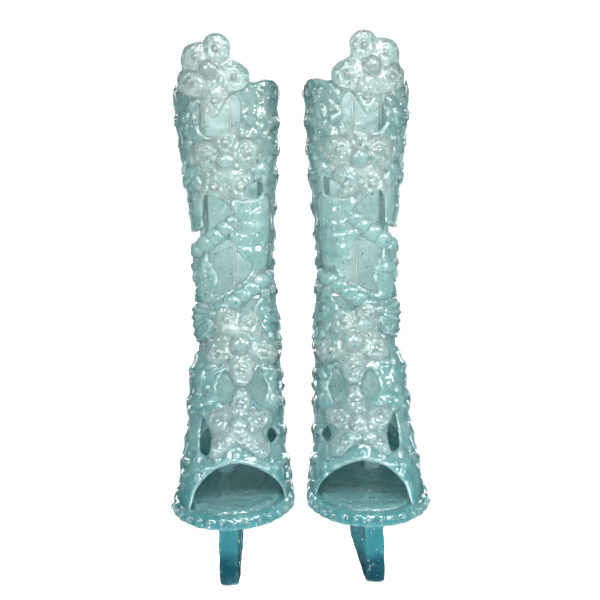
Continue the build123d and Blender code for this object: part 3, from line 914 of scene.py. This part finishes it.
def vinyl(
    name,
    milk=0.0,
    tint=(1, 1, 1, 1),
    flecks=1.0,
    roughness=0.3,
    grain=0.45,
    clarity=0.38,
    depth=0.8,
    relief=1.0,
    painted_back_glow=0.75,
):
    """Glossy translucent vinyl with glitter through it, deep teal at the heel and pale at the cuff.

    milk is its share of milky white, flecks is how much the glitter shows, grain is the height of its
    fine ripples, clarity is how clear it is, depth is how much light it scatters inside, relief is how
    strongly its hollows are painted in shade and its crests in painted highlight, and painted_back_glow is
    how much painted light from behind pales it at the back.
    """
    material = bpy.data.materials.new(name)
    material.use_nodes = True
    tree = material.node_tree
    shader = tree.nodes["Principled BSDF"]
    n = Nodes(tree)
    place = n.add("ShaderNodeTexCoord").outputs["Object"]
    parts = n.add("ShaderNodeSeparateXYZ", {"Vector": place}).outputs
    height = n.maths("DIVIDE", n.maths("ADD", parts["Z"], ORIGIN_HEIGHT * MM), FULL_HEIGHT * MM)
    wander = n.noise(place, 240.0, Detail=2.0)
    height = n.maths("ADD", height, n.times(n.maths("SUBTRACT", wander, 0.5), 0.06))
    ramp = n.add("ShaderNodeValToRGB", {"Fac": height})
    ramp.color_ramp.interpolation = "EASE"
    stops = ramp.color_ramp.elements
    stops[0].position, stops[0].color = OMBRE[0][0] / FULL_HEIGHT, OMBRE[0][1]
    stops[1].position, stops[1].color = OMBRE[-1][0] / FULL_HEIGHT, OMBRE[-1][1]
    for up, colour in OMBRE[1:-1]:
        stops.new(up / FULL_HEIGHT).color = colour
    base = n.add("ShaderNodeMix", data_type="RGBA", blend_type="MULTIPLY")
    base.inputs[0].default_value = 1.0
    tree.links.new(ramp.outputs["Color"], base.inputs[6])
    base.inputs[7].default_value = tint
    colour = base.outputs[2]
    # painted shade: deeper teal down the flanks, standing in for the darker edges that a longer path through
    # the vinyl gives, and painted shade in its hollows
    from_middle = n.maths("ABSOLUTE", n.maths("SUBTRACT", parts["X"], PAIR_X * MM))
    out = n.maths("SUBTRACT", from_middle, (PAIR_X - axis_x["left"]) * MM)
    flank = n.times(n.step(n.maths("ABSOLUTE", out), 4.2 * MM, 8.8 * MM), n.step(height, 0.15, 0.4))
    colour = n.mix(n.times(flank, 0.45), colour, PAINTED_FLANK_SHADE)
    # painted light: paler towards the back and above the heel, standing in for light that shines through the
    # back wall from behind
    rear = n.times(n.step(parts["Y"], 1.0 * MM, 5.0 * MM), n.step(height, 0.1, 0.25))
    colour = n.mix(n.times(rear, painted_back_glow), colour, PAINTED_BACK_LIGHT)
    # painted shade in the hollows and painted highlight on the crests, read from how pointed the surface is
    pointed = n.add("ShaderNodeNewGeometry").outputs["Pointiness"]
    colour = n.mix(n.times(n.step(pointed, 0.5, 0.44), 0.45 * relief), colour, PAINTED_HOLLOW_SHADE)
    colour = n.mix(n.times(n.step(pointed, 0.505, 0.57), 0.35 * relief), colour, PAINTED_CREST_HIGHLIGHT)
    # milky clouds where the vinyl is thick, and clearer teal streaks
    cloud = n.noise(place, 330.0, Detail=3.0, Roughness=0.6)
    paler = n.step(height, 0.05, 0.16)
    colour = n.mix(n.times(paler, milk), colour, MILK)
    colour = n.mix(n.times(n.step(cloud, 0.48, 0.8), n.times(paler, 0.4)), colour, CLOUD_WHITE)
    streak = n.noise(place, 180.0, Detail=2.0)
    colour = n.mix(n.times(n.step(streak, 0.52, 0.75), 0.35), colour, STREAK_TEAL)
    # glitter: each cell of the pattern holds one flake, white, dark or none; the dark flakes are the
    # glitter's own colour, and the white ones are glitter painted as bright glints, a painted highlight
    for scale, size in FLAKES:
        flake = n.add("ShaderNodeTexVoronoi", {"Vector": place, "Scale": scale, "Randomness": 1.0})
        kind = n.add("ShaderNodeSeparateColor", {"Color": flake.outputs["Color"]}).outputs
        scaled = n.maths("DIVIDE", flake.outputs["Distance"], n.maths("ADD", kind["Green"], 0.25))
        near = n.maths("SUBTRACT", 1.0, n.step(scaled, size, size * 1.4))
        dark = n.times(near, n.step(kind["Red"], 0.66, 0.68))
        # white flakes: painted glints of the glitter
        white = n.times(near, n.maths("SUBTRACT", 1.0, n.step(kind["Red"], 0.26, 0.28)))
        colour = n.mix(n.times(dark, 0.75 * flecks), colour, DARK_FLAKE)
        colour = n.mix(n.times(white, flecks), colour, WHITE_GLINT_FLAKE)
    tree.links.new(colour, shader.inputs["Base Color"])
    shader.inputs["Roughness"].default_value = roughness
    shader.inputs["IOR"].default_value = 1.48
    shader.inputs["Subsurface Weight"].default_value = depth
    shader.inputs["Subsurface Radius"].default_value = (0.7, 1.0, 1.0)
    shader.inputs["Subsurface Scale"].default_value = 2.6 * MM
    shader.inputs["Transmission Weight"].default_value = clarity
    shader.inputs["Coat Weight"].default_value = 1.0
    shader.inputs["Coat Roughness"].default_value = 0.04
    shader.inputs["Coat IOR"].default_value = COAT_IOR
    ripple = n.noise(place, 480.0, Detail=3.0, Roughness=0.55)
    bump = n.add("ShaderNodeBump", {"Strength": grain, "Distance": 0.6 * MM, "Height": ripple})
    tree.links.new(bump.outputs["Normal"], shader.inputs["Normal"])
    tree.links.new(bump.outputs["Normal"], shader.inputs["Coat Normal"])
    return material


VINYLS = {
    "aqua_vinyl": {},
    "milky_vinyl": {"milk": 0.5, "grain": 0.6},
    "teal_vinyl": {"tint": (0.92, 0.98, 1.0, 1)},
    "heel_vinyl": {"flecks": 0.3, "clarity": 0.0, "depth": 0.3, "painted_back_glow": 0.0},
    "footbed_vinyl": {
        "milk": 0.2, "tint": (0.9, 0.96, 0.97, 1), "flecks": 0.7, "roughness": 0.32, "grain": 0.7,
    },
    "pearl_vinyl": {"milk": 0.15, "flecks": 0.6, "roughness": 0.1, "grain": 0.1},
    "dome_vinyl": {"milk": 0.5, "flecks": 0.6, "roughness": 0.1, "grain": 0.15, "relief": 0.0},
}
materials = {name: vinyl(name, **look) for name, look in VINYLS.items()}

# ---------------------------------------------------------------- the boots
# the CAD's panels that the one wall of each boot stands for
PANELS = [
    "outer_calf_panel", "inner_calf_panel", "inner_shin_band", "outer_shin_band", "toe_band",
    "outer_foot_band", "inner_foot_band", "heel_counter",
]

shapes = {"wall": build_wall()}
shapes |= {name: build_star(name) for name in STARS}
shapes |= {name: build_shell(name) for name in SHELLS}
shapes |= {name: build_strand(name) for name in STRANDS}
shapes |= {"outsole": build_outsole(), "footbed": build_footbed(), "rim_pearls": rim_row()}
shapes |= {name: side_row(angle) for name, angle in SIDE_ROWS.items()}
shapes |= {"star_domes": star_domes(), "lobe_beads": lobe_beads()}

LOOKS = {"outsole": "teal_vinyl", "footbed": "footbed_vinyl", "heel": "heel_vinyl"}
LOOKS |= {"rim_pearls": "teal_vinyl"}
LOOKS |= {name: "milky_vinyl" for name in STARS}
LOOKS |= {name: "pearl_vinyl" for name in SIDE_ROWS}
LOOKS |= {name: "dome_vinyl" for name in ("star_domes", "lobe_beads")}


def finish_piece(piece, look):
    piece.data.materials.append(materials[look])


for side in SIDES:
    for name, (points, faces) in {**shapes, "heel": build_heel(side)}.items():
        piece = make_object(f"{side}_{name}_moulding", points, faces, side)
        finish_piece(piece, LOOKS.get(name, "aqua_vinyl"))
        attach(piece, f"{side}_boot")
        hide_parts(*[f"{side}_{node}" for node in (PANELS if name == "wall" else [name])])
    for name, direction in (("outer", 1), ("inner", -1)):
        piece = make_object(f"{side}_rear_flap_{name}_moulding", *build_flap(direction), side)
        finish_piece(piece, "aqua_vinyl")
        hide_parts(f"{side}_rear_flap_{name}")
        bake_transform(piece)

# ---------------------------------------------------------------- floor, light and camera
FLOOR_RADIUS = 3.0
under_heels = (0, 0, cad_box[0][2] - 0.2 * MM)
bpy.ops.mesh.primitive_circle_add(vertices=96, radius=FLOOR_RADIUS, fill_type="NGON", location=under_heels)
floor = bpy.context.object
floor.name = "floor"
white = bpy.data.materials.new("floor_white")
white.use_nodes = True
floor_shader = white.node_tree.nodes["Principled BSDF"]
floor_shader.inputs["Base Color"].default_value = (0.93, 0.93, 0.93, 1)
floor_shader.inputs["Roughness"].default_value = 0.9
floor_shader.inputs["Emission Color"].default_value = (1, 1, 1, 1)
floor_shader.inputs["Emission Strength"].default_value = 0.8
floor.data.materials.append(white)
floor.visible_glossy = False

FRONT_LIGHT = 0.2
BACK_LIGHT = 0.3
GLOSS_SHARE = 0.12  # share of the studio's light that shows in reflections
scene = bpy.context.scene
world = bpy.data.worlds.new("studio")
scene.world = world
world.use_nodes = True
backdrop = Nodes(world.node_tree)
ray = backdrop.add("ShaderNodeLightPath").outputs
seen = backdrop.maths("MAXIMUM", ray["Is Camera Ray"], ray["Is Transmission Ray"])
# the studio is plain white to look at, and lights the boots a little more from behind than from in front
direction = backdrop.add("ShaderNodeTexCoord").outputs["Generated"]
towards = backdrop.add("ShaderNodeSeparateXYZ", {"Vector": direction}).outputs
front = backdrop.times(backdrop.step(towards["Y"], 0.35, -0.6), FRONT_LIGHT - BACK_LIGHT)
lit = backdrop.maths("ADD", front, BACK_LIGHT)
shine = backdrop.maths("SUBTRACT", 1.0, backdrop.times(ray["Is Glossy Ray"], 1.0 - GLOSS_SHARE))
brightness = backdrop.maths("MAXIMUM", seen, backdrop.times(lit, shine))
sky = world.node_tree.nodes["Background"]
sky.inputs["Color"].default_value = (1, 1, 1, 1)
world.node_tree.links.new(brightness, sky.inputs["Strength"])

AIM = Vector((PAIR_X + 0.6, 0, -29.85)) * MM


def area_light(name, azimuth, elevation, distance, size, power):
    """A square soft light; azimuth 0 is in front, and positive towards +X."""
    a, e = math.radians(azimuth), math.radians(elevation)
    lamp = bpy.data.objects.new(name, bpy.data.lights.new(name, "AREA"))
    lamp.data.size = size
    lamp.data.energy = power
    direction = Vector((math.sin(a) * math.cos(e), -math.cos(a) * math.cos(e), math.sin(e)))
    lamp.location = AIM + direction * distance
    lamp.rotation_euler = (AIM - lamp.location).to_track_quat("-Z", "Y").to_euler()
    scene.collection.objects.link(lamp)
    return lamp


area_light("key", 30, 30, 0.6, 0.3, 2.2)
area_light("fill", -42, 18, 0.6, 0.2, 0.7)
# the light behind shows through the vinyl, without glare along its edges
area_light("back", 180, 18, 0.6, 0.4, 2.0).data.specular_factor = 0.0
# smaller lamps, for the many crisp glints of wet-looking vinyl
for index, (azimuth, elevation) in enumerate([(-22, 30), (-2, 60), (72, 14)]):
    area_light(f"glint_{index}", azimuth, elevation, 0.5, 0.1, 0.5)

CAMERA_DISTANCE = 1.6
CAMERA_ELEVATION = math.radians(-0.5)
CAMERA_ROLL = math.radians(1.4)
camera = bpy.data.objects.new("camera", bpy.data.cameras.new("camera"))
camera.data.lens = 640
camera.data.sensor_width = 36
camera.data.clip_start = 0.01
backwards = Vector((0, -math.cos(CAMERA_ELEVATION), math.sin(CAMERA_ELEVATION)))
camera.location = AIM + backwards * CAMERA_DISTANCE
look = (AIM - camera.location).to_track_quat("-Z", "Y").to_matrix().to_4x4()
camera.rotation_euler = (look @ Matrix.Rotation(-CAMERA_ROLL, 4, "Z")).to_euler()
scene.collection.objects.link(camera)
scene.camera = camera
scene.view_settings.view_transform = "Standard"
